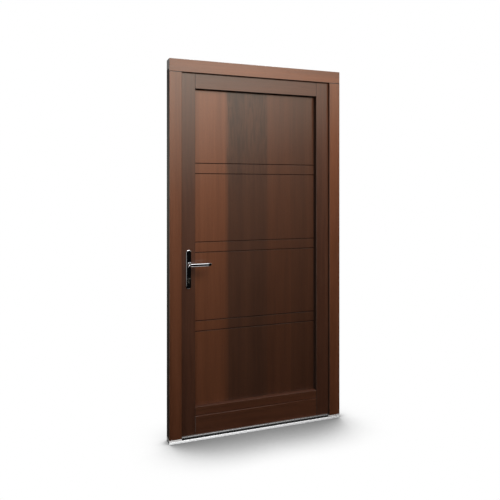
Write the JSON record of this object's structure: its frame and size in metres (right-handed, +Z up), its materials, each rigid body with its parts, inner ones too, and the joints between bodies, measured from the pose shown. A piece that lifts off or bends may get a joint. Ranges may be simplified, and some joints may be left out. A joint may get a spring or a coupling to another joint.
{
  "type": "entrance door with frame",
  "caption": "Panelled timber entrance door hung in its rebated frame, opening inwards, with a grooved inset panel and a lever handle on a long plate.",
  "frame": {"origin": "middle of the underside of the threshold, at mid width and mid depth of the frame", "axes": "+Z up; +Y into the house, so the outside face looks along -Y; +X to the right as seen from outside"},
  "size_m": [1.1, 0.1804, 2.2],
  "materials": {
    "frame_timber": "semi-gloss lacquered dark exotic timber, grain along each member",
    "leaf_timber": "semi-gloss lacquered dark exotic timber, grain along each member",
    "panel_veneer": "satin lacquered veneer in upright leaves of slightly different tone",
    "aluminium": "satin anodised",
    "black_plastic": "matt extruded",
    "light_plastic": "fine matt moulded",
    "foam": "fine closed-cell foam",
    "seal_rubber": "matt extruded",
    "zinc_steel": "bright zinc, lightly brushed",
    "hinge_steel": "satin nickel",
    "polished_chrome": "polished",
    "cylinder_brass": "satin nickel-plated brass"
  },
  "bodies": {
    "frame": {"frame_jamb_left": "frame_timber", "frame_jamb_right": "frame_timber", "frame_head": "frame_timber", "threshold": "aluminium", "threshold_core": "black_plastic", "end_block_left": "light_plastic", "end_block_right": "light_plastic", "frame_seal_left": "seal_rubber", "frame_seal_right": "seal_rubber", "frame_seal_head": "seal_rubber", "main_strike": "zinc_steel", "pin_strikes": "zinc_steel", "strike_screws": "zinc_steel", "hinge_frame_part_lower": "hinge_steel", "hinge_frame_part_middle": "hinge_steel", "hinge_frame_part_upper": "hinge_steel", "hinge_pins": "hinge_steel", "hinge_frame_screws": "zinc_steel"},
    "leaf": {"lock_stile": "leaf_timber", "hinge_stile": "leaf_timber", "top_rail": "leaf_timber", "bottom_rail": "leaf_timber", "panel_outer_board": "panel_veneer", "panel_core": "foam", "panel_inner_board": "panel_veneer", "bead_left": "leaf_timber", "bead_right": "leaf_timber", "bead_top": "leaf_timber", "bead_bottom": "leaf_timber", "drip_rail": "aluminium", "bottom_seal": "seal_rubber", "leaf_seal_left": "seal_rubber", "leaf_seal_right": "seal_rubber", "leaf_seal_top": "seal_rubber", "hinge_leaf_part_lower": "hinge_steel", "hinge_leaf_part_middle": "hinge_steel", "hinge_leaf_part_upper": "hinge_steel", "hinge_leaf_screws": "zinc_steel", "lock_faceplate": "zinc_steel", "faceplate_screws": "zinc_steel", "lock_case": "zinc_steel", "pin_bolt_cases": "zinc_steel", "outer_backplate": "polished_chrome", "inner_backplate": "polished_chrome", "plate_screws": "zinc_steel", "cylinder_body": "cylinder_brass", "cylinder_screw": "zinc_steel"},
    "handle": {"outer_lever": "polished_chrome", "inner_lever": "polished_chrome", "spindle": "zinc_steel", "lock_hub": "zinc_steel"},
    "latch": {"latch_bolt": "zinc_steel"},
    "key_plug": {"outer_plug": "cylinder_brass", "inner_plug": "cylinder_brass", "cylinder_cam": "zinc_steel"},
    "dead_bolt": {"dead_bolt": "zinc_steel"},
    "upper_rod": {"drive_rod_upper": "zinc_steel"},
    "lower_rod": {"drive_rod_lower": "zinc_steel"},
    "upper_pin_bolt": {"pin_bolt_upper": "zinc_steel"},
    "lower_pin_bolt": {"pin_bolt_lower": "zinc_steel"}
  },
  "joints": [
    {"name": "leaf_swing", "type": "hinge", "parent": "frame", "child": "leaf", "pos_m": [0.513, 0.051, 0], "axis": [0, 0, -1], "range_deg": [0, 95]},
    {"name": "handle_turn", "type": "hinge", "parent": "leaf", "child": "handle", "pos_m": [-0.434, 0, 1.018], "axis": [0, 1, 0], "range_deg": [0, 40], "stiffness_Nm_per_rad": 1, "springref_deg": -34.38},
    {"name": "latch_slide", "type": "slide", "parent": "leaf", "child": "latch", "axis": [1, 0, 0], "range_m": [0, 0.012]},
    {"name": "key_turn", "type": "hinge", "parent": "leaf", "child": "key_plug", "pos_m": [-0.434, 0, 0.933], "axis": [0, -1, 0], "range_deg": [0, 360]},
    {"name": "dead_bolt_slide", "type": "slide", "parent": "leaf", "child": "dead_bolt", "axis": [-1, 0, 0], "range_m": [0, 0.02]},
    {"name": "upper_rod_slide", "type": "slide", "parent": "leaf", "child": "upper_rod", "axis": [0, 0, 1], "range_m": [0, 0.02]},
    {"name": "lower_rod_slide", "type": "slide", "parent": "leaf", "child": "lower_rod", "axis": [0, 0, -1], "range_m": [0, 0.02]},
    {"name": "upper_pin_bolt_slide", "type": "slide", "parent": "leaf", "child": "upper_pin_bolt", "axis": [-1, 0, 0], "range_m": [0, 0.02]},
    {"name": "lower_pin_bolt_slide", "type": "slide", "parent": "leaf", "child": "lower_pin_bolt", "axis": [-1, 0, 0], "range_m": [0, 0.02]}
  ],
  "couplings": [
    {"joint": "latch_slide", "follows": "handle_turn", "m_per_rad": 0.01718},
    {"joint": "key_turn", "follows": "dead_bolt_slide", "rad_per_m": 314.15},
    {"joint": "upper_rod_slide", "follows": "dead_bolt_slide", "ratio": 1},
    {"joint": "lower_rod_slide", "follows": "dead_bolt_slide", "ratio": 1},
    {"joint": "upper_pin_bolt_slide", "follows": "dead_bolt_slide", "ratio": 1},
    {"joint": "lower_pin_bolt_slide", "follows": "dead_bolt_slide", "ratio": 1}
  ]
}
